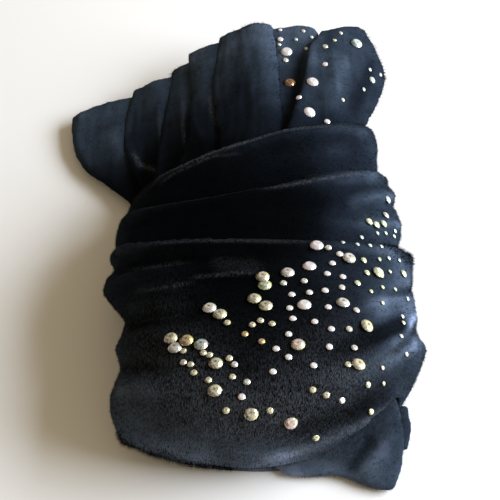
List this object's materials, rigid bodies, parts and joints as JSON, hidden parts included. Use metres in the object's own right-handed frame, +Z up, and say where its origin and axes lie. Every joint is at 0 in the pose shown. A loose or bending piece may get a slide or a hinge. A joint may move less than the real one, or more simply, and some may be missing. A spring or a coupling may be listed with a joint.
{
  "type": "turban headwrap",
  "caption": "Stretch velvet turban headwrap folded and wound into a bundle, its front set with scattered flat-back crystals.",
  "frame": {"origin": "on the surface that the bundle lies on, under the middle of its box", "axes": "+Z up, +Y from the closed near end to the fanned ends, +X to the viewer's right"},
  "size_m": [0.178, 0.2548, 0.0637],
  "materials": {
    "velvet": "black stretch velvet, short dense pile with a cool sheen",
    "crystal": "faceted flat-back glass with a foil back and an iridescent coat"
  },
  "bodies": {
    "root": {"wrap_turn_1": "velvet", "wrap_turn_2": "velvet", "front_drape": "velvet", "fan_fold_1": "velvet", "fan_fold_2": "velvet", "fan_fold_3": "velvet", "fan_fold_4": "velvet", "jewelled_lobe_left": "velvet", "fan_fold_5": "velvet", "jewelled_lobe_right": "velvet", "corner_panel": "velvet", "side_tab": "velvet", "crystal_01": "crystal", "crystal_02": "crystal", "crystal_03": "crystal", "crystal_04": "crystal", "crystal_05": "crystal", "crystal_06": "crystal", "crystal_07": "crystal", "crystal_08": "crystal", "crystal_09": "crystal", "crystal_10": "crystal", "crystal_11": "crystal", "crystal_12": "crystal", "crystal_13": "crystal", "crystal_14": "crystal", "crystal_15": "crystal", "crystal_16": "crystal", "crystal_17": "crystal", "crystal_18": "crystal", "crystal_19": "crystal", "crystal_20": "crystal", "crystal_21": "crystal", "crystal_22": "crystal", "crystal_23": "crystal", "crystal_24": "crystal", "crystal_25": "crystal", "crystal_26": "crystal", "crystal_27": "crystal", "crystal_28": "crystal", "crystal_29": "crystal"}
  },
  "joints": []
}
